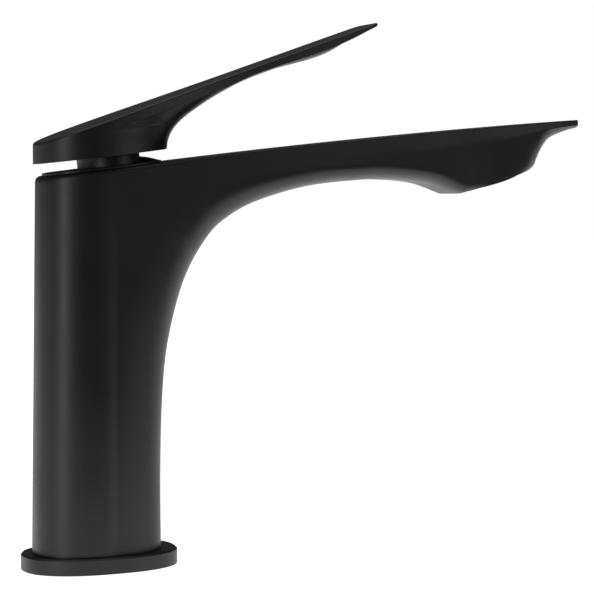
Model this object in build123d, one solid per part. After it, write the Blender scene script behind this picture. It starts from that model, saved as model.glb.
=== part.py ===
from build123d import *
import os
from math import atan2, copysign, cos, degrees, pi, radians, sin, tan

# Bathroom basin mixer, one hole, single lever.  Millimetres, +Z up.
# Origin: centre of the base plate's underside, which lies on the deck.
# +X points along the spout, -X is the rear, and the plan is symmetric about Y = 0.
# The top of the body slopes up towards the spout.  The cartridge stands square to that
# slope, so its pieces are drawn in the "top frame": z = 0 on the sloping top, z up its axis.

# Driving dimensions: base and column
plate_half_length = 27.3
plate_half_width = 18.3
plate_thickness = 5.5
plan_exponent = 2.3
column_x = -1.0
foot_half_length = 22.4
foot_half_width = 15.9
column_half_length = 20.5
column_half_width = 15.0
top_height = 136.4
top_tilt = 6.9
top_edge_radius = 1.8

# Driving dimensions: spout
spout_tip_x = 189.5
spout_tip_thickness = 2.8
spout_straight_x = 40.0
spout_top_droop = 1.38e-4
arch_corner = 13.5
arch_sections = 30
nozzle_corner = 2.5
nozzle_rear = (137.6, 128.2)
nozzle_front = (170.4, 138.2)
aerator_radius = 12.0
aerator_depth = 9.0
nozzle_half_width = 14.0
beak_half_width = 12.0
beak_corner = 6.0

# Driving dimensions: hollow foot, waterways and threads
opening_half_length = 18.8
opening_half_width = 11.8
hollow_half_length = 18.2
hollow_half_width = 11.4
hollow_top = 72.0
port_radius = 2.8
port_y = 6.5
inlet_x = 1.5
outlet_port_x = 6.5
hose_thread_radius = 4.6
hose_thread_depth = 12.0
stud_boss_radius = 6.0
stud_hole_radius = 3.4
stud_hole_depth = 16.0
stud_x = -14.0
riser_x = 21.7
riser_top = 117.0
riser_radius = 2.4
cross_depth = 6.0
duct_half_width = 8.5
duct_roof = 5.0
duct_rear_roof_height = 126.0
duct_floor = [
    (19.3, 109.0),
    (29.0, 113.5),
    (41.0, 123.0),
    (56.0, 131.3),
    (76.0, 136.2),
    (100.0, 139.0),
    (135.0, 139.8),
    (160.0, 145.4),
]

# Driving dimensions: cartridge, in the top frame
cartridge_radius = 12.5
chamber_radius = 12.7
chamber_floor = -46.0
disc_radius = 10.0
disc_thickness = 3.5
moving_disc_radius = 7.0
guide_radius = 10.0
guide_neck_radius = 8.6
guide_slot = 6.2
peg_radius = 1.5
peg_length = 2.2
peg_x = 4.3
peg_y = 8.6
collar_radius = 10.4
collar_top = -3.4
nut_radius = 13.4
nut_bottom = -11.5
nut_top = -2.2
ring_z = -24.0
seal_outer = 4.2
seal_inner = 3.0
seal_height = 1.3

# Driving dimensions: spindle, measured from its pivot along its own axis
pivot_depth = 15.0
closed_lean = 12.0
ball_arm = 14.0
ball_radius = 2.5
pin_radius = 1.25
stem_side = 6.0
stem_top = 28.6
bush_radius = 4.9
bush_bottom = 21.8
screw_radius = 2.0
screw_socket_radius = 1.15
screw_length = 10.0
screw_height = 26.0
screw_web_length = 24.0
screw_hole_front = 40.0
plug_rear = 17.4

# Driving dimensions: cover cap, in the top frame
cap_half_length = 20.9
cap_half_width = 13.2
cap_centre_x = 1.6
cap_sink = 1.2
cap_rise = 0.8
neck_radius = 10.8
neck_bore_radius = 9.5
neck_centre_x = 4.2
neck_top = 4.0
dome_x = 12.0
dome_radius = 11.4
dome_rise = 3.0

# Driving dimensions: handle
handle_gap = 3.8
handle_overhang = 0.8
handle_wall = 1.5
handle_top_height = 152.9
handle_top_slope = 19.6
handle_tip_x = 104.6
handle_tip_thickness = 2.4
lever_half_width = 10.7
lever_corner = 5.0
hub_front_x = 24.2
handle_cavity_ceiling = 7.4
cavity_front = 18.0
cavity_front_width = 28.2

# Clearances
slip = 0.1
gap = 0.3
disc_gap = 0.05

# Sizes and places that follow
base_top = chamber_floor + 5
fixed_disc_bottom = base_top + disc_gap
moving_disc_bottom = fixed_disc_bottom + disc_thickness + disc_gap
carrier_bottom = moving_disc_bottom + disc_thickness
carrier_top = -pivot_depth - ball_arm + ball_radius
disc_travel = ball_arm * tan(radians(closed_lean))
nozzle_slope = (nozzle_front[1] - nozzle_rear[1]) / (nozzle_front[0] - nozzle_rear[0])
nozzle_centre = Vector((nozzle_rear[0] + nozzle_front[0]) / 2, 0, (nozzle_rear[1] + nozzle_front[1]) / 2)
top_frame = Location((0, 0, top_height), (0, -top_tilt, 0))
stem_frame = top_frame * Location((0, 0, -pivot_depth), (0, closed_lean, 0))
# The aerator frame: z = 0 on the nozzle face, z up into the spout.
aerator_frame = Location(Plane(nozzle_centre, x_dir=(1, 0, nozzle_slope), z_dir=(-nozzle_slope, 0, 1)))


def oval(half_length, half_width, z=0.0, x=0.0):
    """A superellipse face, the plan shape of plate, column, cap and handle."""
    count = 32
    points = []
    for i in range(count):
        angle = 2 * pi * i / count
        along = copysign(abs(cos(angle)) ** (2 / plan_exponent), cos(angle))
        across = copysign(abs(sin(angle)) ** (2 / plan_exponent), sin(angle))
        points.append((x + half_length * along, half_width * across, z))
    return Face(Wire([Edge.make_spline([Vector(*p) for p in points], periodic=True)]))


def upright(radius, bottom, top, x=0.0, y=0.0):
    """A cylinder on an axis parallel to z."""
    return Pos(x, y, (bottom + top) / 2) * Cylinder(radius, top - bottom)


def ring(outer, inner, bottom, top, x=0.0, y=0.0):
    return upright(outer, bottom, top, x, y) - upright(inner, bottom - 1, top + 1, x, y)


def side_slab(outline, half_width):
    """A closed outline in the X-Z plane, thickened both ways along Y."""
    return extrude(Plane.XZ * make_face(outline), half_width, both=True)


def slope_line(x):
    """Height of the straight part of the body's top at x."""
    return top_height + x * tan(radians(top_tilt))


def spout_top(x):
    """Height of the spout's top at x, which bends down a little after its straight start."""
    past = max(0.0, x - spout_straight_x)
    return slope_line(x) - spout_top_droop * past ** 2


def column_width(z):
    """Half width of the column, which narrows evenly from its foot to its top."""
    return foot_half_width + (column_half_width - foot_half_width) * z / top_height


def under_top(margin=0.0):
    """Everything below the body's top line, from behind the column to the spout's tip."""
    rear = -40.0
    middle = (spout_straight_x + spout_tip_x) / 2
    start = (spout_straight_x, spout_top(spout_straight_x) - margin)
    end = (spout_tip_x, spout_top(spout_tip_x) - margin)
    outline = [
        Line((rear, plate_thickness), (rear, slope_line(rear) - margin)),
        Line((rear, slope_line(rear) - margin), start),
        ThreePointArc(start, (middle, spout_top(middle) - margin), end),
        Line(end, (spout_tip_x, plate_thickness)),
        Line((spout_tip_x, plate_thickness), (rear, plate_thickness)),
    ]
    return side_slab(outline, 40)


def column():
    foot = oval(foot_half_length, foot_half_width, plate_thickness, column_x)
    head = oval(column_half_length, column_half_width, top_height + 8, column_x)
    solid = loft([foot, head]) & under_top()
    rim = solid.edges().filter_by(lambda edge: edge.center().Z > top_height - 20)
    return fillet(rim, top_edge_radius)


def spout_section(x, z, lean, width, corner, reach):
    """A section with rounded lower corners, standing on (x, z), leaning back from upright."""
    away = Vector(-sin(radians(lean)), 0, cos(radians(lean)))
    plane = Plane(Vector(x, 0, z), x_dir=(0, 1, 0), z_dir=Vector(0, 1, 0).cross(away))
    low = -width + corner
    diagonal = corner * (1 - cos(pi / 4))
    outline = [
        Line((low, 0), (-low, 0)),
        ThreePointArc((-low, 0), (width - diagonal, diagonal), (width, corner)),
        Line((width, corner), (width, reach)),
        Line((width, reach), (-width, reach)),
        Line((-width, reach), (-width, corner)),
        ThreePointArc((-width, corner), (-width + diagonal, diagonal), (low, 0)),
    ]
    return plane * make_face(outline)


def underside():
    """Side view of the column's front and the spout's underside, up to the nozzle."""
    points = [
        (21.3, plate_thickness),
        (22.0, 50.0),
        (24.1, 77.0),
        (30.0, 98.0),
        (38.2, 112.0),
        (56.8, 125.0),
        (75.6, 130.5),
        (100.0, 133.3),
        (120.0, 132.8),
        nozzle_rear,
    ]
    return Spline(*points)


def arch():
    """The front of the column, its curve into the spout, and the spout's underside."""
    curve = underside()
    sections = []
    for i in range(arch_sections + 1):
        share = i / arch_sections
        place = curve.position_at(share)
        run = curve.tangent_at(share)
        lean = max(0.0, degrees(atan2(run.Y, run.X)))
        flattening = max(0.0, place.X - spout_straight_x) / (nozzle_rear[0] - spout_straight_x)
        corner = arch_corner + (nozzle_corner - arch_corner) * flattening
        to_axis = place.X / max(sin(radians(lean)), 0.01)
        to_top = (spout_top(place.X) + 4 - place.Y) / max(cos(radians(lean)), 0.01)
        width = column_width(min(place.Y, top_height))
        sections.append(spout_section(place.X, place.Y, lean, width, corner, min(to_axis, to_top)))
    return loft(sections, ruled=True)


def nozzle():
    """The straight hull with the flat, sloping face that the aerator sits in."""
    rear = spout_section(*nozzle_rear, 0, column_half_width, nozzle_corner, 28.0)
    front = spout_section(*nozzle_front, 0, nozzle_half_width, nozzle_corner, 20.0)
    return loft([rear, front], ruled=True)


def beak():
    """The thin overhanging tip in front of the nozzle, rounded in plan at its end."""
    tip_z = spout_top(spout_tip_x) - spout_tip_thickness
    round_x = spout_tip_x - beak_corner
    round_z = tip_z - beak_corner * 0.25
    sections = [
        spout_section(*nozzle_front, 0, nozzle_half_width, nozzle_corner, 20.0),
        spout_section(173.8, 144.6, 0, 13.4, 2.0, 11.0),
        spout_section(178.4, 149.2, 0, 12.8, 1.2, 8.0),
        spout_section(round_x, round_z, 0, beak_half_width, 0.8, 5.0),
    ]
    for i in range(1, 7):
        angle = i * pi / 14
        x = round_x + beak_corner * sin(angle)
        z = round_z + (tip_z - round_z) * sin(angle)
        width = beak_half_width - beak_corner * (1 - cos(angle))
        sections.append(spout_section(x, z, 0, width, 0.8, 5.0))
    return loft(sections, ruled=True)


def hollow_foot():
    """The space inside the column that the hoses and the fixing stud come up through."""
    bottom = plate_thickness - 1
    plan = oval(hollow_half_length, hollow_half_width, bottom, column_x)
    hollow = extrude(plan, hollow_top - bottom)
    return hollow - upright(stud_boss_radius, 0, hollow_top + 1, stud_x)


def supply_passages(floor_z):
    """Two tapped inlets in the hollow's ceiling, each with its passage up to the cartridge."""
    cuts = [upright(stud_hole_radius, plate_thickness - 1, plate_thickness + stud_hole_depth, stud_x)]
    thread_end = hollow_top + hose_thread_depth
    for y in (-port_y, port_y):
        cuts.append(upright(port_radius, hollow_top, floor_z + 2, inlet_x, y))
        cuts.append(upright(hose_thread_radius, hollow_top - 1, thread_end, inlet_x, y))
    return cuts


def outlet_passage(floor_x, floor_z):
    """From the cartridge's outlet down, forward under the chamber, and up the riser."""
    corners = [
        Vector(floor_x + outlet_port_x, 0, floor_z + 2),
        Vector(floor_x + outlet_port_x, 0, floor_z - cross_depth),
        Vector(riser_x, 0, floor_z - cross_depth),
        Vector(riser_x, 0, riser_top),
    ]
    cuts = []
    for start, end in zip(corners, corners[1:]):
        run = Plane(start, z_dir=end - start)
        cuts.append(extrude(run * Circle(riser_radius), (end - start).length))
        cuts.append(Pos(*end) * Sphere(riser_radius))
    return cuts


def spout_duct():
    """The cored duct from the riser to the aerator's seat."""
    rear_x = duct_floor[0][0]
    front_x = duct_floor[-1][0]
    rear_roof = (rear_x, duct_rear_roof_height)
    middle_roof = (spout_straight_x, spout_top(spout_straight_x) - duct_roof - 1)
    front_roof = (front_x, spout_top(front_x) - duct_roof)
    outline = [
        Spline(*duct_floor),
        Line(duct_floor[-1], front_roof),
        Line(front_roof, middle_roof),
        Line(middle_roof, rear_roof),
        Line(rear_roof, duct_floor[0]),
    ]
    return side_slab(outline, duct_half_width)


def body_casting():
    shell = column() + (arch() + nozzle() + beak()) & under_top()
    bore = [
        upright(chamber_radius, chamber_floor, 5),
        upright(nut_radius + slip / 2, nut_bottom - 0.5, 5),
        extrude(oval(cap_half_length + gap, cap_half_width + gap, -cap_sink, cap_centre_x), 6),
    ]
    peg_bottom = chamber_floor - peg_length - gap
    for y in (-peg_y, peg_y):
        bore.append(upright(peg_radius + slip, peg_bottom, chamber_floor + 1, peg_x, y))
    nose = [
        upright(aerator_radius, -3, aerator_depth),
        upright(aerator_radius - 3, 0, aerator_depth + 2.5),
    ]
    floor_x = -chamber_floor * sin(radians(top_tilt))
    floor_z = top_height + chamber_floor * cos(radians(top_tilt))
    shell = shell - [top_frame * cut for cut in bore] - [aerator_frame * cut for cut in nose]
    shell = shell - hollow_foot() - supply_passages(floor_z)
    return shell - outlet_passage(floor_x, floor_z) - spout_duct()


def base_plate():
    plate = extrude(oval(plate_half_length, plate_half_width), plate_thickness)
    plate = chamfer(plate.edges().group_by(Axis.Z)[-1], 0.6)
    opening = oval(opening_half_length, opening_half_width, -1, column_x)
    return plate - extrude(opening, plate_thickness + 2) - deck_gasket(slip) - body_seal(slip)


def deck_gasket(margin=0.0):
    outer = oval(24.8 + margin, 16.4 + margin)
    inner = oval(21.5 - margin, 13.4 - margin)
    return extrude(outer - inner, 1.4 + margin)


def body_seal(margin=0.0):
    bottom = plate_thickness - 0.9 - margin
    outer = oval(21.3 + margin, 14.6 + margin, bottom, column_x)
    inner = oval(20.0 - margin, 13.3 - margin, bottom, column_x)
    return extrude(outer - inner, 0.9 + margin)


def ports(radius, bottom, top):
    """The two inlets and the outlet, as cylinders in the top frame."""
    inlet = inlet_x / cos(radians(top_tilt)) + chamber_floor * tan(radians(top_tilt))
    return [
        upright(radius, bottom, top, inlet, port_y),
        upright(radius, bottom, top, inlet, -port_y),
        upright(radius, bottom, top, outlet_port_x, 0),
    ]


def cartridge_base():
    base = upright(cartridge_radius, chamber_floor, chamber_floor + 4)
    base = base + upright(disc_radius, chamber_floor + 4, base_top)
    for y in (-peg_y, peg_y):
        base = base + upright(peg_radius, chamber_floor - peg_length, chamber_floor + 1, peg_x, y)
    base = base - ports(seal_outer + slip, chamber_floor - 1, chamber_floor + seal_height)
    return base - ports(port_radius - 0.3, chamber_floor - 1, base_top + 1)


def cartridge_port_seals():
    rings = ports(seal_outer, chamber_floor, chamber_floor + seal_height)
    holes = ports(seal_inner, chamber_floor - 1, chamber_floor + seal_height + 1)
    return Compound([Part() + outer - inner for outer, inner in zip(rings, holes)])


def fixed_ceramic_disc():
    disc = upright(disc_radius, fixed_disc_bottom, fixed_disc_bottom + disc_thickness)
    return disc - ports(2.0, fixed_disc_bottom - 1, moving_disc_bottom)


def moving_ceramic_disc():
    disc = upright(moving_disc_radius, moving_disc_bottom, carrier_bottom - disc_gap, -disc_travel)
    pocket = oval(5.4, 4.6, moving_disc_bottom - 1, -disc_travel)
    return disc - extrude(pocket, 2.8)


def disc_carrier():
    """Carries the moving disc, and takes the spindle's ball in its socket."""
    carrier = upright(moving_disc_radius, carrier_bottom, carrier_top, -disc_travel)
    socket = upright(ball_radius + slip, -pivot_depth - ball_arm - ball_radius - 0.5, 0, -disc_travel)
    return carrier - socket


def cartridge_housing():
    shell = upright(cartridge_radius, chamber_floor + 4 + disc_gap, nut_bottom)
    shell = shell + upright(collar_radius, nut_bottom, collar_top)
    shell = shell - upright(guide_radius + slip, chamber_floor, nut_bottom - 1.2)
    shell = shell - upright(guide_neck_radius + slip, chamber_floor, 0)
    return shell - ring(cartridge_radius + 1, cartridge_radius - 1.7, ring_z - 1, ring_z + 1)


def cartridge_o_ring():
    return Pos(0, 0, ring_z) * Torus(cartridge_radius - 0.75, 0.9)


def spindle_guide():
    """Turns in the cartridge housing and carries the spindle's pin."""
    guide = upright(guide_radius, carrier_top + 0.2, nut_bottom - 1.3)
    guide = guide + upright(guide_neck_radius, nut_bottom - 1.3, collar_top + 0.4)
    slot = Pos(0, 0, -pivot_depth) * Box(2 * guide_slot, stem_side + 2 * gap, 60)
    return guide - slot - spindle_pin()


def spindle_pin():
    return Pos(0, 0, -pivot_depth) * Cylinder(pin_radius, 2 * guide_radius - 1.5, rotation=(90, 0, 0))


def lever_spindle():
    """The square brass spindle, drawn along its own axis from the pivot."""
    stem = Pos(0, 0, (stem_top - 3.5) / 2) * Box(stem_side, stem_side, stem_top + 3.5)
    stem = chamfer(stem.edges().group_by(Axis.Z)[-1], 0.6)
    stem = stem + upright(2.0, -ball_arm, -3)
    stem = stem + Pos(0, 0, -ball_arm) * Sphere(ball_radius)
    hole = Cylinder(pin_radius + 0.05, 20, rotation=(90, 0, 0))
    return stem - hole


def cartridge_nut():
    nut = ring(nut_radius, collar_radius + slip, nut_bottom, nut_top)
    for i in range(4):
        notch = Pos(nut_radius - 1.6, 0, nut_top) * Box(3.6, 4.0, 4.0)
        nut = nut - Rot(0, 0, 45 + 90 * i) * notch
    return nut


def temperature_limiter():
    limiter = ring(collar_radius - 0.1, guide_neck_radius + 0.3, collar_top + disc_gap, collar_top + 1.7)
    stop = Pos(-collar_radius + 1.4, 0, collar_top + 1.6) * Box(1.6, 3.0, 1.0)
    return limiter - stop


def cover_cap():
    """Closes the top of the body, and rises in a neck and a low dome under the handle."""
    cap = extrude(oval(cap_half_length, cap_half_width, -cap_sink, cap_centre_x), cap_sink + cap_rise)
    cap = fillet(cap.edges().group_by(Axis.Z)[-1], 0.4)
    dome_ball = (dome_radius ** 2 + dome_rise ** 2) / (2 * dome_rise)
    dome = Pos(dome_x, 0, dome_rise - dome_ball) * Sphere(dome_ball)
    cap = cap + (dome & upright(dome_radius, 0, dome_rise + 1, dome_x))
    cap = cap + upright(neck_radius, 0, neck_top, neck_centre_x)
    return cap - upright(neck_bore_radius, -cap_sink - 1, neck_top + 1, neck_centre_x)


def handle_top(x):
    return handle_top_height + x * tan(radians(handle_top_slope))


def handle_plan():
    """The handle seen from above: an oval hub that tapers into a lever with rounded corners."""
    hub_half_width = column_half_width + handle_overhang
    rear = oval(column_half_length + handle_overhang, hub_half_width, x=column_x)
    corner_x = handle_tip_x - lever_corner
    corner_y = lever_half_width - lever_corner
    edge = [
        (column_x, hub_half_width),
        (24, (hub_half_width + lever_half_width) / 2),
        (45, lever_half_width),
        (corner_x, lever_half_width),
    ]
    side = Spline(*edge, tangents=[(1, 0), (1, 0)])
    middle = (corner_x + lever_corner * sin(pi / 4), corner_y + lever_corner * sin(pi / 4))
    corner = ThreePointArc((corner_x, lever_half_width), middle, (handle_tip_x, corner_y))
    half = [side, corner, Line((handle_tip_x, corner_y), (handle_tip_x, 0))]
    rear_line = Line((column_x, hub_half_width), (column_x, -hub_half_width))
    front = make_face(half + [mirror(line, Plane.XZ) for line in half] + [rear_line])
    return extrude(rear + front, 250)


def handle_side():
    """The handle seen from the side: the hub, its concave front, and the slim lever."""
    rear = -30.0
    slope = tan(radians(top_tilt))
    bottom = top_height + handle_gap / cos(radians(top_tilt))
    front = (hub_front_x, bottom + hub_front_x * slope)
    end = (handle_tip_x, handle_top(handle_tip_x) - handle_tip_thickness)
    points = [(26.0, 149.6), (31.6, 155.3), (40.0, 161.3), (57.8, 169.8), (77.7, 176.2), (90.5, 182.0)]
    outline = [
        Line((rear, bottom + rear * slope), front),
        Spline(front, *points, end, tangents=[(0.12, 1.0), (1.0, 0.35)]),
        Line(end, (handle_tip_x, handle_top(handle_tip_x))),
        Line((handle_tip_x, handle_top(handle_tip_x)), (rear, handle_top(rear))),
        Line((rear, handle_top(rear)), (rear, bottom + rear * slope)),
    ]
    return side_slab(outline, 40)


def handle_outside():
    return handle_side() & handle_plan()


def handle_lever():
    """The cast handle: hollow under the hub, with a bore for the spindle's bush."""
    inset = handle_overhang - handle_wall
    hub = oval(column_half_length + inset, column_half_width + inset, x=column_x)
    hub = hub & Pos(cavity_front - 50, 0) * Rectangle(100, 80)
    middle = Pos(cavity_front / 2, 0) * RectangleRounded(cavity_front, cavity_front_width, 8)
    cavity = extrude(hub + middle, handle_cavity_ceiling)
    bore = upright(bush_radius, bush_bottom - 12, stem_top + 0.6)
    boss = upright(bush_radius + 1.6, bush_bottom, stem_top)
    web = forward_pin(screw_radius + 0.8, 0, screw_web_length)
    solid = handle_outside()
    inside = top_frame * cavity - stem_frame * (boss + web)
    return solid - inside - stem_frame * bore - stem_frame * screw_hole()


def forward_pin(radius, rear, front):
    """A cylinder along x at the grub screw's height, in the stem frame."""
    return Pos((rear + front) / 2, 0, screw_height) * Cylinder(radius, front - rear, rotation=(0, 90, 0))


def screw_hole():
    """Runs from the spindle out through the front of the hub."""
    return forward_pin(screw_radius + slip, stem_side / 2, screw_hole_front)


def handle_bush():
    bush = upright(bush_radius - disc_gap, bush_bottom, stem_top + 0.5)
    socket = Pos(0, 0, stem_top / 2) * Box(stem_side + slip, stem_side + slip, stem_top + slip)
    return bush - socket - screw_hole()


def grub_screw():
    tip = stem_side / 2 + slip
    screw = forward_pin(screw_radius, tip, tip + screw_length)
    socket = extrude(RegularPolygon(screw_socket_radius, 6), 3, both=True)
    return screw - Pos(tip + screw_length, 0, screw_height) * Rot(0, 90, 0) * socket


def screw_plug():
    """Closes the screw's hole, flush with the front of the hub."""
    return stem_frame * forward_pin(screw_radius, plug_rear, screw_hole_front) & handle_outside()


def aerator_housing():
    shell = ring(aerator_radius - slip, 10.2, -0.5, aerator_depth - 1.5)
    shell = shell + ring(10.3, 9.2, -0.5, 0.6)
    return fillet(shell.edges().group_by(Axis.Z)[0].sort_by(SortBy.LENGTH)[-1], 0.45)


def aerator_grid():
    """Straightens the stream: a disc of six-sided rings of holes."""
    disc = upright(10.0, 0.7, 2.9)
    holes = [upright(0.85, 0, 4)]
    for turn in range(1, 5):
        for i in range(6 * turn):
            angle = 2 * pi * i / (6 * turn)
            holes.append(upright(0.75, 0, 4, 2.15 * turn * cos(angle), 2.15 * turn * sin(angle)))
    return disc - holes


def aerator_mesh():
    return upright(10.0, 3.0, 3.5) - [upright(0.4, 2, 5, 1.2 * i, 0) for i in range(-7, 8)]


def flow_regulator():
    disc = upright(10.0, 3.6, 7.2) - upright(8.6, 5.2, 8)
    disc = disc + upright(3.0, 5.0, 7.2)
    slots = [Rot(0, 0, 30 * i) * upright(0.9, 3, 6, 6.0) for i in range(12)]
    return disc - slots


def aerator_seal():
    return ring(aerator_radius - 0.2, 9.4, aerator_depth - 1.4, aerator_depth)


def all_nodes():
    nodes = {
        "body_casting": body_casting(),
        "base_plate": base_plate(),
        "deck_gasket": deck_gasket(),
        "body_seal": body_seal(),
        "handle_lever": handle_lever(),
        "screw_plug": screw_plug(),
    }
    in_top_frame = (
        cartridge_base,
        cartridge_port_seals,
        fixed_ceramic_disc,
        moving_ceramic_disc,
        disc_carrier,
        cartridge_housing,
        cartridge_o_ring,
        spindle_guide,
        spindle_pin,
        cartridge_nut,
        temperature_limiter,
        cover_cap,
    )
    for make in in_top_frame:
        nodes[make.__name__] = top_frame * make()
    for make in (lever_spindle, handle_bush, grub_screw):
        nodes[make.__name__] = stem_frame * make()
    for make in (aerator_housing, aerator_grid, aerator_mesh, flow_regulator, aerator_seal):
        nodes[make.__name__] = aerator_frame * make()
    return nodes


os.makedirs("parts", exist_ok=True)
for name, shape in all_nodes().items():
    export_step(shape, f"parts/{name}.step")
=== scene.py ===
import math

import bmesh
import bpy
import numpy as np
from mathutils import Matrix, Vector


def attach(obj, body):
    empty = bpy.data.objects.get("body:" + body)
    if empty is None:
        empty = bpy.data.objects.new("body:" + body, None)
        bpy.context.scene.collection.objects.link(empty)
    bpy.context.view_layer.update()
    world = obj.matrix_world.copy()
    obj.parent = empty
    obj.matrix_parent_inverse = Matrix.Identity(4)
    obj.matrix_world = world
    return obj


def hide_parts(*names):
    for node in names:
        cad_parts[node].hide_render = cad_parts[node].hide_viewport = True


# The look of a single-lever basin mixer in satin black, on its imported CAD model.
# Shapes are in millimetres in the CAD frame, and MM turns them into metres. The floor, the
# lights and the depths of the finishes are in metres.

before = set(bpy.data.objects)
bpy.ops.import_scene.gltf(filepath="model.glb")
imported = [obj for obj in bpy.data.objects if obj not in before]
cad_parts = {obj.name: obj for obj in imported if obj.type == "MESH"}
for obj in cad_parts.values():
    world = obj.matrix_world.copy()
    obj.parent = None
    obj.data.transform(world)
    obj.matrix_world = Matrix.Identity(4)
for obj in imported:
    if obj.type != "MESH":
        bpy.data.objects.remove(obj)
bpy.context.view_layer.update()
MM = 0.001

# The camera: off to the mixer's side, at about the height of the arch
CAMERA_PLACE = (-217.5, -631.6, 126.1)
CAMERA_YAW = 24.86
CAMERA_PITCH = 2.97
CAMERA_LENS = 116.34

# The floor, the lights and the world, in metres. The floor starts FLOOR_FRONT before the mixer
FLOOR_SIZE = 3.0
FLOOR_FRONT = 0.15
FLOOR_DROP = 0.0003
FLOOR_GLOW = 1.0
LIGHT_AIM = (0.06, 0.0, 0.1)
WORLD_FADE = (-0.1, 0.5)
WORLD_FRONT = 0.035
WORLD_BACK = 0.08
# Each softbox: name, place, (width, height), watts
SOFTBOXES = (
    ("strip_by_camera", (-1.25, -1.05, 0.30), (0.16, 1.2), 7),
    ("right_box", (1.25, -1.4, 0.5), (0.9, 1.0), 3.5),
    ("overhead_box", (0.1, 0.3, 1.7), (1.6, 1.6), 10),
)

# The plan's roundness, the sloping top and the closed handle
PLAN_EXPONENT = 2.3
TOP_TILT = math.radians(6.9)
TOP_HEIGHT = 136.4
COLUMN_X = -1.0
PLATE_TOP = 5.5
STRAIGHT_X = 40.0
TOP_DROOP = 1.38e-4
HANDLE_TOP = 152.8
HANDLE_SLOPE = math.tan(math.radians(19.55))
HUB_BOTTOM = 140.6
PIVOT_DEPTH = 15.0
CLOSED_LEAN = math.radians(12)

# The body's oval column narrows by the taper from its foot to its top. The fan is the
# stretch in x where the side's lines spread round the arch
FOOT_HALF_LENGTH = 22.4
FOOT_HALF_WIDTH = 15.9
TAPER_LENGTH = 2.0
TAPER_WIDTH = 0.9
BODY_TIP_X = 188.4
BODY_TIP_CORNER = 5.0
BODY_FAN = (34.0, 70.0)

# The nozzle's face: its ends (x, z), the half width of its flat, and its corner radius
NOZZLE_REAR = (137.6, 128.2)
NOZZLE_FRONT = (168.8, 137.8)
NOZZLE_END_FLAT = 4.0
NOZZLE_SWELL = 8.6
NOZZLE_FULLNESS = 0.8
NOZZLE_CORNER = 1.2
NOZZLE_CORNER_FRONT = 4.8
NOZZLE_CORNER_REAR = 1.8

# The handle's hub and lever
HUB_HALF_LENGTH = 21.1
HUB_HALF_WIDTH = 15.7
HUB_FRONT_X = 24.2
HANDLE_TIP_X = 104.0
HANDLE_TIP_CORNER = 4.0
HANDLE_FAN = (29.0, 46.0)

# Cuts in the body. A half is (half length, half width), and a span is (bottom, top)
CAP_POCKET_HALF = (21.2, 13.5)
CAP_POCKET_X = 1.6
CAP_POCKET_SPAN = (-1.2, 6)
HOLLOW_FOOT_HALF = (18.2, 11.4)
HOLLOW_FOOT_SPAN = (4.5, 72)
STUD_X = -14.0
STUD_BOSS_RADIUS = 6.0
STUD_BOSS_SPAN = (3, 74)
# Each round hole: name, radius, (x, y), bottom, top
TOP_HOLES = (
    ("nut_bore", 13.45, (0.0, 0.0), -12, 2),
    ("chamber", 12.7, (0.0, 0.0), -46, 0),
)
NOZZLE_HOLES = (
    ("aerator_seat", 12.0, (0.0, 0.0), -3, 9),
    ("aerator_throat", 9.0, (0.0, 0.0), 8, 11.5),
)
FOOT_HOLES = (
    ("stud_hole", 3.4, (STUD_X, 0.0), 4.5, 21.5),
    ("hose_thread_hot", 4.6, (1.5, -6.5), 71, 84),
    ("hose_thread_cold", 4.6, (1.5, 6.5), 71, 84),
)

# Cuts in the handle
HUB_HOLLOW_HALF = (19.7, 14.2)
HUB_HOLLOW_FRONT = 17.5
HUB_HOLLOW_SPAN = (-2, 7.4)
BUSH_BOSS_RADIUS = 6.5
BUSH_BOSS_SPAN = (21.8, 40)
BUSH_BORE_RADIUS = 4.92
BUSH_BORE_SPAN = (10, 29.3)

# How finely the meshes are made
OVAL_COUNT = 96
EDGE_STEPS = 6
BAND_SHARES = (0.25, 0.5, 0.75, 1.0)
FAN_STEPS = 27
SMOOTHING = 4
CREASE_ANGLE = math.radians(32)

# The finishes: how finely the colour clouds and the worn edges are broken up, and how
# convex an edge is where its wear starts and where it is full
CLOUD_SCALE = 42.0
WEAR_SCALE = 260.0
WEAR_STARTS = 0.52
WEAR_FULL = 0.60


# ---------------------------------------------------------------- curves and tables

def smooth_rows(rows, per_span=14):
    """Points of a smooth curve through the rows, each row any number of values."""
    rows = np.array(rows, float)
    before = 2 * rows[0] - rows[1]
    after = 2 * rows[-1] - rows[-2]
    padded = np.vstack([before, rows, after])
    points = []
    for i in range(1, len(padded) - 2):
        a, b, c, d = padded[i - 1:i + 3]
        for t in np.linspace(0, 1, per_span, endpoint=False):
            points.append(
                0.5 * (2 * b + (c - a) * t + (2 * a - 5 * b + 4 * c - d) * t ** 2
                       + (3 * b - a - 3 * c + d) * t ** 3)
            )
    points.append(rows[-1])
    return np.array(points)


def table(rows):
    """A smooth function of x through rows of (x, value)."""
    curve = smooth_rows(rows)
    return lambda x: np.interp(x, curve[:, 0], curve[:, 1])


def body_top(x):
    past = np.maximum(0.0, x - STRAIGHT_X)
    return TOP_HEIGHT + x * math.tan(TOP_TILT) - TOP_DROOP * past ** 2


def handle_top(x):
    return HANDLE_TOP + x * HANDLE_SLOPE


# ---------------------------------------------------------------- mesh helpers

def mesh_object(name, bm):
    """Turns a bmesh into an object with smooth faces and crisp edges."""
    bmesh.ops.remove_doubles(bm, verts=bm.verts, dist=1e-6)
    bmesh.ops.dissolve_degenerate(bm, edges=bm.edges, dist=1e-7)
    bmesh.ops.recalc_face_normals(bm, faces=bm.faces)
    mesh = bpy.data.meshes.new(name)
    bm.to_mesh(mesh)
    bm.free()
    obj = bpy.data.objects.new(name, mesh)
    bpy.context.scene.collection.objects.link(obj)
    shade(obj)
    return obj


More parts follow.
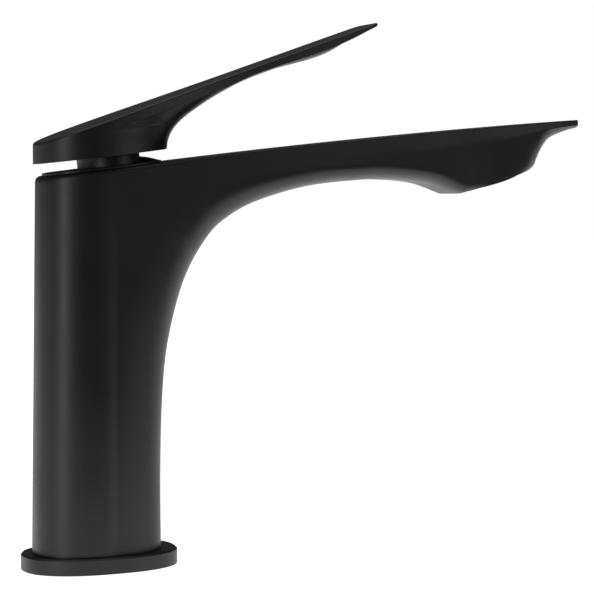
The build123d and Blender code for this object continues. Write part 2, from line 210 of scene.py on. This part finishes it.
def shade(obj):
    obj.data.shade_smooth()
    obj.data.set_sharp_from_angle(angle=CREASE_ANGLE)


def weighted_normals(obj):
    """Keeps flat faces flat beside small fillets."""
    weighted = obj.modifiers.new("weighted_normals", "WEIGHTED_NORMAL")
    weighted.keep_sharp = True
    weighted.weight = 90


def apply_modifiers(obj):
    graph = bpy.context.evaluated_depsgraph_get()
    finished = bpy.data.meshes.new_from_object(obj.evaluated_get(graph))
    obj.modifiers.clear()
    obj.data = finished


def cut(obj, *cutters):
    """Takes the cutters away from obj, one after the other, and removes them."""
    for cutter in cutters:
        boolean = obj.modifiers.new("cut", "BOOLEAN")
        boolean.operation = "DIFFERENCE"
        boolean.solver = "EXACT"
        boolean.object = cutter
        apply_modifiers(obj)
        bpy.data.objects.remove(cutter)


def grid_faces(bm, rows):
    """Quads between neighbouring rows of points, in millimetres."""
    made = [[bm.verts.new(Vector(p) * MM) for p in row] for row in rows]
    for first, second in zip(made, made[1:]):
        for i in range(len(first) - 1):
            bm.faces.new((first[i], first[i + 1], second[i + 1], second[i]))
    return made


def oval_points(half_length, half_width, x):
    """Points round a superellipse."""
    points = []
    for i in range(OVAL_COUNT):
        angle = 2 * math.pi * i / OVAL_COUNT
        along = math.copysign(abs(math.cos(angle)) ** (2 / PLAN_EXPONENT), math.cos(angle))
        across = math.copysign(abs(math.sin(angle)) ** (2 / PLAN_EXPONENT), math.sin(angle))
        points.append((x + half_length * along, half_width * across))
    return points


def prism(name, outline, bottom, top, place):
    """A closed outline raised from bottom to top, put in place."""
    bm = bmesh.new()
    low = [bm.verts.new(Vector((x, y, bottom))) for x, y in outline]
    high = [bm.verts.new(Vector((x, y, top))) for x, y in outline]
    bm.faces.new(low)
    bm.faces.new(high)
    for i in range(len(outline)):
        j = (i + 1) % len(outline)
        bm.faces.new((low[i], low[j], high[j], high[i]))
    bmesh.ops.transform(bm, matrix=Matrix.Scale(MM, 4) @ place, verts=bm.verts)
    return mesh_object(name, bm)


def round_outline(radius, x=0.0, y=0.0, count=64):
    turn = 2 * math.pi / count
    angles = [i * turn for i in range(count)]
    return [(x + radius * math.cos(angle), y + radius * math.sin(angle)) for angle in angles]


def round_holes(holes, place):
    """A cutter for each row of a table of round holes."""
    return [
        prism(name, round_outline(radius, *at), bottom, top, place)
        for name, radius, at, bottom, top in holes
    ]


def top_frame():
    """z = 0 on the body's sloping top, z up the cartridge's axis."""
    return Matrix.Translation((0, 0, TOP_HEIGHT)) @ Matrix.Rotation(-TOP_TILT, 4, "Y")


def stem_frame():
    """z = 0 at the spindle's pivot, z up the spindle's axis."""
    lean = Matrix.Rotation(CLOSED_LEAN, 4, "Y")
    return top_frame() @ Matrix.Translation((0, 0, -PIVOT_DEPTH)) @ lean


# ---------------------------------------------------------------- the hull builder

class Hull:
    """A casting with an upright oval end and a long arm, symmetric about Y = 0.

    It is skinned from a band round the top edge, an oval wall behind COLUMN_X, and sides
    that run in lines from the band to the inner curve: the front and the arm's underside.
    """

    def __init__(self, top, half_length, half_width, bottom, arm_width, band, inner, arch_x,
                 tuck, edge, stations):
        self.top = top                  # height of the top at x
        self.half_length = half_length  # of the oval, at a height
        self.half_width = half_width    # of the oval, at a height
        self.bottom = bottom            # height of the oval's foot at x
        self.arm_width = arm_width      # half width of the arm at x
        self.band = band                # height of the upright band at x
        self.tuck = tuck                # how far the side leans in below the band, at x
        self.edge = edge                # radius of the top edge at x
        self.stations = stations        # (x on the band, x on the inner curve)
        # The inner curve's points: x, z, corner radius and half width of its flat
        self.curve = np.vstack([smooth_rows(piece) for piece in inner])
        # The rear wall's lines end on the curve before this point, and the band's after it
        self.arch_index = int(np.abs(self.curve[:, 0] - arch_x).argmin())

    def oval_point(self, angle, z):
        """On the rear wall: angle 0 is the rear centre, a right angle is the side."""
        along = math.cos(angle) ** (2 / PLAN_EXPONENT) if angle < math.pi / 2 else 0.0
        across = math.sin(angle) ** (2 / PLAN_EXPONENT)
        return COLUMN_X - self.half_length(z) * along, self.half_width(z) * across

    def rear_height(self, angle):
        """Height of the top above the rear wall at an angle."""
        z = self.top(COLUMN_X)
        for _ in range(4):
            z = self.top(self.oval_point(angle, z)[0])
        return z

    def side(self, x, z):
        """Half width at points of the side view, in front of COLUMN_X."""
        gaps = np.hypot(self.curve[None, :, 0] - x[:, None], self.curve[None, :, 1] - z[:, None])
        nearest = gaps.argmin(1)
        distance = segment_distance(self.curve[:, :2], nearest, x, z)
        corner, flat = self.curve[nearest, 2], self.curve[nearest, 3]
        below = np.maximum(0.0, self.top(x) - self.band(x) - z)
        rim = self.top(COLUMN_X)
        reach = np.where(z < rim, self.half_width(z), self.half_width(rim))
        full = np.minimum(self.arm_width(x), reach) - self.tuck(x) * below
        share = np.clip(distance / corner, 0, 1)
        rounded = (1 - (1 - share) ** PLAN_EXPONENT) ** (1 / PLAN_EXPONENT)
        return flat + (full - flat) * rounded

    def inner_point(self, x):
        """The arm's underside at x, past the arch."""
        arm = self.curve[self.arch_index:]
        order = np.argsort(arm[:, 0], kind="stable")
        return np.interp(x, arm[order, 0], arm[order, 1])


def segment_distance(curve, nearest, x, z):
    """Distance from points to the curve's two segments beside its nearest point."""
    best = np.full(len(x), 1e9)
    points = np.stack([x, z], 1)
    for step in (-1, 0):
        a = curve[np.clip(nearest + step, 0, len(curve) - 2)]
        b = curve[np.clip(nearest + step, 0, len(curve) - 2) + 1]
        run = b - a
        length = np.maximum((run ** 2).sum(1), 1e-12)
        share = np.clip(((points - a) * run).sum(1) / length, 0, 1)
        foot = a + run * share[:, None]
        best = np.minimum(best, np.hypot(*(points - foot).T))
    return best


def edge_profile():
    """The top edge's quarter round, from the side up: (inset, drop) as shares of its radius."""
    turns = np.linspace(0, math.pi / 2, EDGE_STEPS + 1)
    return [(1 - math.cos(t), 1 - math.sin(t)) for t in turns]


def band_column(hull, x, y, normal, z_top):
    """Points down one station of the band: the top edge's round, then the upright band."""
    radius = hull.edge(x)
    column = []
    for inset, drop in reversed(edge_profile()):
        px, py = x - normal[0] * inset * radius, y - normal[1] * inset * radius
        column.append((px, py, hull.top(px) - drop * radius))
    low = z_top - hull.band(x)
    for share in BAND_SHARES:
        z = (z_top - radius) * (1 - share) + low * share
        column.append((x, y, z))
    return column


def skin(hull, name, rear_steps=22, wall_steps=30, side_steps=24, cross_steps=8):
    """Builds the hull's closed mesh."""
    bm = bmesh.new()
    left = skin_half(bm, hull, -1, rear_steps, wall_steps, side_steps)
    right = skin_half(bm, hull, 1, rear_steps, wall_steps, side_steps)
    shares = np.linspace(0, 1, cross_steps + 1)
    for row in ("top", "tip", "under"):
        rows = []
        for a, b in zip(left[row], right[row]):
            rows.append([tuple(np.array(a) * (1 - t) + np.array(b) * t) for t in shares])
        grid_faces(bm, rows)
    # The foot is one flat face: forward along one side, across the front, and back along the other
    front = right["foot"][-1]
    across = np.linspace(front[1], left["foot"][-1][1], cross_steps + 1)[1:-1]
    foot = right["foot"] + [(front[0], y, front[2]) for y in across] + left["foot"][::-1]
    bm.faces.new([bm.verts.new(Vector(p) * MM) for p in foot[:-1]])
    return mesh_object(name, bm)


def skin_half(bm, hull, sign, rear_steps, wall_steps, side_steps):
    """One side of the hull. Returns its rows of points that the cross faces join up."""
    def flip(rows):
        return [[(p[0], sign * p[1], p[2]) for p in row] for row in rows]

    band_rows = []
    wall_columns = []
    for i in range(rear_steps + 1):
        angle = math.pi / 2 * i / rear_steps
        z_top = hull.rear_height(angle)
        x, y = hull.oval_point(angle, z_top)
        ahead = hull.oval_point(min(angle + 1e-3, math.pi / 2), z_top)
        behind = hull.oval_point(max(angle - 1e-3, 0.0), z_top)
        if i == 0:
            normal = (-1.0, 0.0)
        elif i == rear_steps:
            normal = (0.0, 1.0)
        else:
            run = np.array(ahead) - np.array(behind)
            normal = (-run[1] / np.hypot(*run), run[0] / np.hypot(*run))
        column = band_column(hull, x, y, normal, z_top)
        upright = [(*hull.oval_point(angle, p[2]), p[2]) for p in column[EDGE_STEPS + 1:]]
        band_rows.append(column[:EDGE_STEPS + 1] + upright)
        low = upright[-1][2]
        wall = []
        for k in range(wall_steps + 1):
            share = k / wall_steps
            x_foot, _ = hull.oval_point(angle, hull.bottom(x))
            z = hull.bottom(x_foot) * (1 - share) + low * share
            wall.append((*hull.oval_point(angle, z), z))
        wall_columns.append(wall)
    arm_x = [s[0] for s in hull.stations]
    for x in arm_x[1:]:
        y = float(hull.arm_width(x))
        step = 1e-3
        slope = float(hull.arm_width(x + step) - hull.arm_width(x - step)) / (2 * step)
        normal = np.array([-slope, 1.0]) / math.hypot(slope, 1.0)
        if x == arm_x[-1]:
            normal = (1.0, 0.0)
        band_rows.append(band_column(hull, x, y, normal, float(hull.top(x))))
    lines = side_lines(hull, wall_columns[-1], band_rows[rear_steps:], side_steps)
    grid_faces(bm, flip(band_rows))
    grid_faces(bm, flip(wall_columns))
    grid_faces(bm, flip(lines))
    tip = band_rows[-1] + list(lines[-1][1:])
    shared = {
        "top": [row[0] for row in band_rows],
        "tip": tip,
        "under": [line[-1] for line in lines],
        "foot": [column[0] for column in wall_columns] + list(lines[0][1:]),
    }
    return {key: flip([value])[0] for key, value in shared.items()}


def side_lines(hull, wall, band_rows, steps):
    """Lines of points across the side, from the rear wall or the band to the inner curve."""
    shares = [1 - math.cos(math.pi / 2 * k / steps) for k in range(steps, -1, -1)]
    ends = []
    first = hull.curve[:hull.arch_index + 1]
    run = np.concatenate([[0], np.cumsum(np.hypot(*np.diff(first[:, :2], axis=0).T))])
    foot, height = wall[0][2], wall[-1][2]
    for point in wall:
        share = (point[2] - foot) / (height - foot)
        at = run[-1] * share
        ends.append((point, (np.interp(at, run, first[:, 0]), np.interp(at, run, first[:, 1]))))
    for (_, x_inner), column in list(zip(hull.stations, band_rows))[1:]:
        ends.append((column[-1], (x_inner, float(hull.inner_point(x_inner)))))
    lines = []
    for outer, inner in ends:
        x = np.array([inner[0] + (outer[0] - inner[0]) * s for s in shares])
        z = np.array([inner[1] + (outer[2] - inner[1]) * s for s in shares])
        y = hull.side(x, z)
        line = [(float(a), float(b), float(c)) for a, b, c in zip(x, y, z)]
        line[0] = tuple(outer)
        lines.append(line)
    widths = np.array([[point[1] for point in line] for line in lines])
    for _ in range(SMOOTHING):
        widths[1:-1, 1:] = (widths[:-2, 1:] + 2 * widths[1:-1, 1:] + widths[2:, 1:]) / 4
    return [[(p[0], float(y), p[2]) for p, y in zip(line, row)] for line, row in zip(lines, widths)]


def arm_stations(fan_start, fan_end, breaks):
    """Where the side's lines leave the band and where they meet the inner curve."""
    span = fan_end - COLUMN_X
    power = span / (fan_end - fan_start)
    stations = []
    for along in np.linspace(0, span, FAN_STEPS):
        inner = fan_start + (fan_end - fan_start) * (along / span) ** power
        stations.append((float(COLUMN_X + along), float(inner)))
    here = fan_end
    for there, count in breaks:
        for x in np.linspace(here, there, count + 1)[1:]:
            stations.append((float(x), float(x)))
        here = there
    return stations


def tip_stations(stations, tip_x, corner, count=9):
    """Stations that crowd into the rounded corner at the arm's tip."""
    for i in range(1, count + 1):
        x = tip_x - corner + corner * math.sin(math.pi / 2 * i / count)
        stations.append((x, x))
    return stations


def rounded_tip(width, tip_x, corner):
    """The arm's half width, with a rounded corner at the tip."""
    def narrowed(x):
        past = np.clip((np.asarray(x, float) - (tip_x - corner)) / corner, 0, 1)
        return width(np.minimum(x, tip_x - corner)) - corner * (1 - np.sqrt(1 - past ** 2))
    return narrowed


# ---------------------------------------------------------------- the body casting

def nozzle_rows():
    """The nozzle's flat face: narrow at its ends and widest at the aerator."""
    rows = []
    for turn in np.linspace(0, math.pi, 25):
        share = (1 - math.cos(turn)) / 2
        swell = math.sin(turn)
        ahead, behind = max(0.0, 2 * share - 1), max(0.0, 1 - 2 * share)
        flat = NOZZLE_END_FLAT + NOZZLE_SWELL * swell ** NOZZLE_FULLNESS
        corner = NOZZLE_CORNER + NOZZLE_CORNER_FRONT * ahead ** 2 + NOZZLE_CORNER_REAR * behind ** 2
        x = NOZZLE_REAR[0] + (NOZZLE_FRONT[0] - NOZZLE_REAR[0]) * share
        z = NOZZLE_REAR[1] + (NOZZLE_FRONT[1] - NOZZLE_REAR[1]) * share
        rows.append((x, z, corner, flat))
    return rows


def share_up(z):
    """How far up the column a height is, from 0 at the plate."""
    return (z - PLATE_TOP) / (TOP_HEIGHT - PLATE_TOP)


def body_hull():
    """The column, the arch, the nozzle and the spout's tip, with the underside as rows of
    x, z, corner radius and half width of the flat."""
    inner = [
        [
            (21.3, 5.5, 22.4, 0.8), (21.2, 30.0, 22.3, 0.8), (21.9, 56.5, 22.2, 0.8),
            (24.1, 77.0, 21.8, 0.8), (29.9, 98.1, 19.0, 1.0), (38.1, 112.4, 16.5, 1.3),
            (45.5, 119.4, 13.5, 1.5), (56.8, 125.3, 9.8, 1.8), (75.6, 130.6, 7.2, 2.5),
            (94.8, 132.9, 5.8, 3.5), (108.1, 133.4, 5.0, 4.0), (124.3, 132.2, 4.0, 4.5),
            (*NOZZLE_REAR, 3.0, 4.0),
        ],
        nozzle_rows(),
        [
            (*NOZZLE_FRONT, 6.0, 4.0), (171.9, 143.8, 7.0, 4.0), (175.4, 148.5, 6.0, 4.0),
            (183.0, 151.8, 2.5, 4.0), (BODY_TIP_X, 153.1, 0.9, 5.0),
        ],
    ]
    corner_x = BODY_TIP_X - BODY_TIP_CORNER
    stations = arm_stations(*BODY_FAN, [(NOZZLE_REAR[0], 24), (NOZZLE_FRONT[0], 24), (corner_x, 12)])
    width = table([
        (-5, 15.0), (60, 15.0), (137, 14.8), (172, 14.0), (180, 13.0), (corner_x, 12.0),
    ])
    return Hull(
        top=body_top,
        half_length=lambda z: FOOT_HALF_LENGTH - TAPER_LENGTH * share_up(z),
        half_width=lambda z: FOOT_HALF_WIDTH - TAPER_WIDTH * share_up(z),
        bottom=lambda x: PLATE_TOP,
        arm_width=rounded_tip(width, BODY_TIP_X, BODY_TIP_CORNER),
        band=table([
            (-30, 5.2), (60, 5.2), (93, 5.3), (123, 6.1), (142, 4.9), (155, 4.5),
            (168, 3.2), (181, 2.2), (BODY_TIP_X, 2.1),
        ]),
        inner=inner,
        arch_x=BODY_FAN[0],
        tuck=table([
            (-30, 0.0), (60, 0.0), (85, 0.02), (105, 0.10), (140, 0.15), (175, 0.2),
            (BODY_TIP_X, 0.3),
        ]),
        edge=table([(-30, 1.8), (20, 1.8), (45, 0.7), (BODY_TIP_X, 0.6)]),
        stations=tip_stations(stations, BODY_TIP_X, BODY_TIP_CORNER),
    )


def aerator_frame():
    """z = 0 on the nozzle's face, z up into the spout."""
    rear = Vector((NOZZLE_REAR[0], 0, NOZZLE_REAR[1]))
    front = Vector((NOZZLE_FRONT[0], 0, NOZZLE_FRONT[1]))
    slope = math.atan2(front.z - rear.z, front.x - rear.x)
    return Matrix.Translation((rear + front) / 2) @ Matrix.Rotation(-slope, 4, "Y")


def make_body():
    """The casting, open for the cap, the cartridge, the aerator, the hoses and the stud."""
    body = skin(body_hull(), "body_casting_cast")
    top = top_frame()
    level = Matrix.Identity(4)
    hollow = prism("hollow_foot", oval_points(*HOLLOW_FOOT_HALF, COLUMN_X), *HOLLOW_FOOT_SPAN, level)
    cut(hollow, prism("stud_boss", round_outline(STUD_BOSS_RADIUS, STUD_X), *STUD_BOSS_SPAN, level))
    cut(
        body,
        prism("cap_pocket", oval_points(*CAP_POCKET_HALF, CAP_POCKET_X), *CAP_POCKET_SPAN, top),
        *round_holes(TOP_HOLES, top),
        *round_holes(NOZZLE_HOLES, aerator_frame()),
        hollow,
        *round_holes(FOOT_HOLES, level),
    )
    shade(body)
    weighted_normals(body)
    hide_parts("body_casting")
    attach(body, "body")
    return body


# ---------------------------------------------------------------- the handle

def handle_bottom(x):
    return HUB_BOTTOM + x * math.tan(TOP_TILT)


def handle_hull():
    """The oval hub and the lever, with the underside as rows like the body's."""
    inner = [
        [
            (HUB_FRONT_X, handle_bottom(HUB_FRONT_X), 25.0, 0.8),
            (24.8, 146.7, 24.0, 0.8), (26.2, 149.7, 21.0, 0.9),
            (28.5, 152.5, 18.0, 1.0), (31.7, 155.3, 14.0, 1.2), (35.8, 158.2, 10.0, 1.5),
            (40.2, 161.1, 7.0, 1.8), (45.1, 163.9, 5.0, 2.0), (50.7, 166.8, 3.8, 2.0),
            (57.8, 169.7, 3.4, 2.0), (66.2, 172.6, 3.2, 2.0), (77.7, 175.7, 3.2, 2.0),
            (85.2, 178.5, 3.0, 2.0), (91.3, 182.1, 2.2, 2.0), (95.5, 185.2, 1.4, 2.0),
            (99.2, 186.8, 1.2, 2.2), (HANDLE_TIP_X, 188.1, 0.8, 2.5),
        ],
    ]
    stations = arm_stations(*HANDLE_FAN, [(94.0, 30), (HANDLE_TIP_X - HANDLE_TIP_CORNER, 6)])
    width = table([
        (-5, HUB_HALF_WIDTH), (0, HUB_HALF_WIDTH), (12, 14.9), (24, 13.2), (45, 10.6),
        (66, 10.3), (90, 10.0), (HANDLE_TIP_X, 9.7),
    ])
    return Hull(
        top=handle_top,
        half_length=lambda z: HUB_HALF_LENGTH,
        half_width=lambda z: HUB_HALF_WIDTH,
        bottom=handle_bottom,
        arm_width=rounded_tip(width, HANDLE_TIP_X, HANDLE_TIP_CORNER),
        band=table([
            (-30, 3.4), (30, 3.6), (43.7, 3.4), (53.3, 2.6), (63, 2.6), (73, 2.9), (83, 3.1),
            (90.5, 2.6), (95, 2.1), (99, 1.5), (HANDLE_TIP_X, 1.0),
        ]),
        inner=inner,
        arch_x=HANDLE_FAN[0],
        tuck=table([(-30, 0.0), (20, 0.0), (40, 0.05), (60, 0.1), (HANDLE_TIP_X, 0.2)]),
        edge=table([(-30, 0.7), (30, 0.7), (60, 0.6), (HANDLE_TIP_X, 0.6)]),
        stations=tip_stations(stations, HANDLE_TIP_X, HANDLE_TIP_CORNER),
    )


def make_handle():
    """The lever, with its hub hollow underneath round the boss that holds the bush."""
    handle = skin(handle_hull(), "handle_lever_cast", wall_steps=12)
    stem = stem_frame()
    plan = [(min(x, HUB_HOLLOW_FRONT), y) for x, y in oval_points(*HUB_HOLLOW_HALF, COLUMN_X)]
    hollow = prism("hub_hollow", plan, *HUB_HOLLOW_SPAN, top_frame())
    cut(hollow, prism("bush_boss", round_outline(BUSH_BOSS_RADIUS), *BUSH_BOSS_SPAN, stem))
    cut(handle, hollow, prism("bush_bore", round_outline(BUSH_BORE_RADIUS), *BUSH_BORE_SPAN, stem))
    shade(handle)
    weighted_normals(handle)
    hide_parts("handle_lever")
    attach(handle, "handle")
    return handle


# ---------------------------------------------------------------- materials

def set_range(node, from_low, from_high, low, high):
    """Sets the four ends of a Map Range node."""
    node.inputs["From Min"].default_value = from_low
    node.inputs["From Max"].default_value = from_high
    node.inputs["To Min"].default_value = low
    node.inputs["To Max"].default_value = high


class Finish:
    """A node material under construction: a Principled shader fed by object-space textures."""

    def __init__(self, name):
        self.material = bpy.data.materials.new(name)
        self.material.use_nodes = True
        self.tree = self.material.node_tree
        self.shader = self.tree.nodes["Principled BSDF"]
        self.place = self.tree.nodes.new("ShaderNodeTexCoord").outputs["Object"]

    def node(self, kind, **inputs):
        made = self.tree.nodes.new(kind)
        for key, value in inputs.items():
            self.feed(made.inputs[key.replace("_", " ")], value)
        return made

    def feed(self, socket, value):
        if isinstance(value, bpy.types.NodeSocket):
            self.tree.links.new(value, socket)
        else:
            socket.default_value = value

    def noise(self, scale, detail=4.0, stretch=(1, 1, 1)):
        placed = self.node("ShaderNodeMapping", Vector=self.place, Scale=stretch)
        spot = placed.outputs["Vector"]
        made = self.node("ShaderNodeTexNoise", Vector=spot, Scale=scale, Detail=detail)
        return made.outputs[0]

    def remap(self, value, low, high, from_low=0.3, from_high=0.7):
        made = self.node("ShaderNodeMapRange", Value=value)
        set_range(made, from_low, from_high, low, high)
        return made.outputs["Result"]

    def times(self, first, second):
        made = self.tree.nodes.new("ShaderNodeMath")
        made.operation = "MULTIPLY"
        self.feed(made.inputs[0], first)
        self.feed(made.inputs[1], second)
        return made.outputs[0]

    def blend(self, share, first, second):
        made = self.tree.nodes.new("ShaderNodeMixRGB")
        for socket, value in zip(made.inputs, (share, first, second)):
            self.feed(socket, value)
        return made.outputs[0]

    def wear(self, scale):
        """Stands out on convex edges, broken up by noise."""
        point = self.tree.nodes.new("ShaderNodeNewGeometry").outputs["Pointiness"]
        convex = self.remap(point, 0, 1, WEAR_STARTS, WEAR_FULL)
        return self.times(convex, self.remap(self.noise(scale), 0.2, 1.0))

    def relief(self, height, depth, strength=0.35):
        made = self.node("ShaderNodeBump", Height=height, Strength=strength, Distance=depth)
        self.tree.links.new(made.outputs["Normal"], self.shader.inputs["Normal"])

    def finish(self, colour, roughness, **inputs):
        self.feed(self.shader.inputs["Base Color"], colour)
        self.feed(self.shader.inputs["Roughness"], roughness)
        for key, value in inputs.items():
            self.feed(self.shader.inputs[key.replace("_", " ")], value)
        return self.material


def shade_of(colour, factor):
    """The colour made lighter or darker, with full alpha."""
    return (*[min(1.0, c * factor) for c in colour], 1.0)


def mottled(name, colour, roughness, grain, depth, stretch=(1, 1, 1), spread=0.2, worn=1.6, **inputs):
    """The common build-up: cloudy colour, worn edges, varied roughness and a fine grain."""
    made = Finish(name)
    clouds = made.noise(CLOUD_SCALE, 5.0)
    fine = made.noise(grain, 6.0, stretch)
    darker, lighter = shade_of(colour, 1 - spread), shade_of(colour, 1 + spread)
    base = made.blend(made.remap(clouds, 0, 1), darker, lighter)
    colour_out = made.blend(made.wear(WEAR_SCALE), base, shade_of(colour, worn))
    rough = made.remap(made.times(clouds, fine), roughness - 0.05, roughness + 0.06, 0.12, 0.38)
    made.relief(fine, depth)
    return made.finish(colour_out, rough, **inputs)


def black_coating():
    black = (0.0042, 0.0042, 0.0044)
    return mottled("satin_black_coating", black, 0.42, 2600.0, 6e-6, spread=0.12, worn=1.8)


def black_plug():
    return mottled("black_plug_plastic", (0.012, 0.012, 0.0125), 0.5, 1900.0, 1e-5)


def seal_rubber():
    return mottled("seal_rubber", (0.014, 0.014, 0.015), 0.72, 1400.0, 2e-5, worn=1.3)


def pale_plastic():
    return mottled("cartridge_plastic", (0.68, 0.69, 0.70), 0.42, 1100.0, 8e-6, spread=0.05, worn=1.05)


def red_plastic():
    return mottled("limiter_plastic", (0.55, 0.07, 0.04), 0.38, 1100.0, 8e-6, spread=0.08, worn=1.2)


def white_ceramic():
    return mottled("disc_ceramic", (0.84, 0.83, 0.80), 0.22, 3200.0, 3e-6, spread=0.04, worn=1.05)


def turned_brass():
    brass = (0.70, 0.52, 0.25)
    grooves = (0.15, 0.15, 9.0)
    return mottled("turned_brass", brass, 0.28, 900.0, 9e-6, stretch=grooves, Metallic=1.0)


def plain_steel():
    steel = (0.60, 0.60, 0.61)
    lines = (0.12, 6.0, 6.0)
    return mottled("plain_steel", steel, 0.30, 900.0, 7e-6, stretch=lines, spread=0.1, Metallic=1.0)


def ring_plastic():
    return mottled("aerator_ring_plastic", (0.055, 0.055, 0.057), 0.34, 1500.0, 8e-6, worn=1.5)


def grid_plastic():
    return mottled("aerator_grid_plastic", (0.24, 0.25, 0.26), 0.45, 1500.0, 8e-6, worn=1.3)


FINISHES = {
    black_coating: ("base_plate", "cover_cap"),
    black_plug: ("screw_plug",),
    seal_rubber: ("deck_gasket", "body_seal", "cartridge_o_ring", "cartridge_port_seals", "aerator_seal"),
    pale_plastic: ("cartridge_base", "cartridge_housing", "spindle_guide", "disc_carrier"),
    red_plastic: ("temperature_limiter", "handle_bush"),
    white_ceramic: ("fixed_ceramic_disc", "moving_ceramic_disc"),
    turned_brass: ("cartridge_nut", "lever_spindle"),
    plain_steel: ("spindle_pin", "grub_screw", "aerator_mesh"),
    ring_plastic: ("aerator_housing",),
    grid_plastic: ("aerator_grid", "flow_regulator"),
}


def paint(obj, material):
    obj.data.materials.clear()
    obj.data.materials.append(material)


def paint_all(castings):
    for make, names in FINISHES.items():
        material = make()
        for name in names:
            paint(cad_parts[name], material)
        if make is black_coating:
            for casting in castings:
                paint(casting, material)


# ---------------------------------------------------------------- stage

def pale_floor():
    glow = {"Emission_Color": (1, 1, 1, 1), "Emission_Strength": FLOOR_GLOW}
    white = (0.88, 0.88, 0.88)
    return mottled("studio_floor_white", white, 0.7, 300.0, 1e-5, spread=0.01, worn=1.0, **glow)


def make_floor():
    """A glowing pale floor, clear of the mixer's underside and open towards the camera."""
    bm = bmesh.new()
    bmesh.ops.create_grid(bm, x_segments=4, y_segments=4, size=FLOOR_SIZE)
    bmesh.ops.translate(bm, vec=(0, FLOOR_SIZE - FLOOR_FRONT, -FLOOR_DROP), verts=bm.verts)
    floor = mesh_object("studio_floor", bm)
    paint(floor, pale_floor())


def make_camera():
    data = bpy.data.cameras.new("camera")
    camera = bpy.data.objects.new("camera", data)
    bpy.context.scene.collection.objects.link(camera)
    data.sensor_width = 36.0
    data.lens = CAMERA_LENS
    data.clip_end = 50.0
    yaw, pitch = math.radians(CAMERA_YAW), math.radians(CAMERA_PITCH)
    aim = Vector((math.sin(yaw) * math.cos(pitch), math.cos(yaw) * math.cos(pitch), -math.sin(pitch)))
    camera.location = Vector(CAMERA_PLACE) * MM
    camera.rotation_mode = "QUATERNION"
    camera.rotation_quaternion = aim.to_track_quat("-Z", "Y")
    bpy.context.scene.camera = camera


def softbox(name, place, size, power):
    """A rectangular light that faces the middle of the mixer."""
    data = bpy.data.lights.new(name, "AREA")
    data.shape = "RECTANGLE"
    data.size, data.size_y = size
    data.energy = power
    light = bpy.data.objects.new(name, data)
    light.location = place
    light.rotation_mode = "QUATERNION"
    light.rotation_quaternion = (Vector(LIGHT_AIM) - Vector(place)).to_track_quat("-Z", "Y")
    bpy.context.scene.collection.objects.link(light)


def make_world():
    """White to the camera. To surfaces it is dim, and dimmer in front than behind."""
    world = bpy.data.worlds.new("studio")
    world.use_nodes = True
    tree = world.node_tree
    background = tree.nodes["Background"]
    split = tree.nodes.new("ShaderNodeSeparateXYZ")
    tree.links.new(tree.nodes.new("ShaderNodeTexCoord").outputs["Generated"], split.inputs["Vector"])
    fade = tree.nodes.new("ShaderNodeMapRange")
    set_range(fade, *WORLD_FADE, WORLD_FRONT, WORLD_BACK)
    tree.links.new(split.outputs["Y"], fade.inputs["Value"])
    seen = tree.nodes.new("ShaderNodeMath")
    seen.operation = "MAXIMUM"
    tree.links.new(tree.nodes.new("ShaderNodeLightPath").outputs["Is Camera Ray"], seen.inputs[0])
    tree.links.new(fade.outputs["Result"], seen.inputs[1])
    background.inputs["Color"].default_value = (1, 1, 1, 1)
    tree.links.new(seen.outputs[0], background.inputs["Strength"])
    bpy.context.scene.world = world


make_camera()
make_world()
make_floor()
for softbox_name, softbox_place, softbox_size, softbox_power in SOFTBOXES:
    softbox(softbox_name, softbox_place, softbox_size, softbox_power)
bpy.context.scene.view_settings.view_transform = "Standard"
paint_all([make_body(), make_handle()])
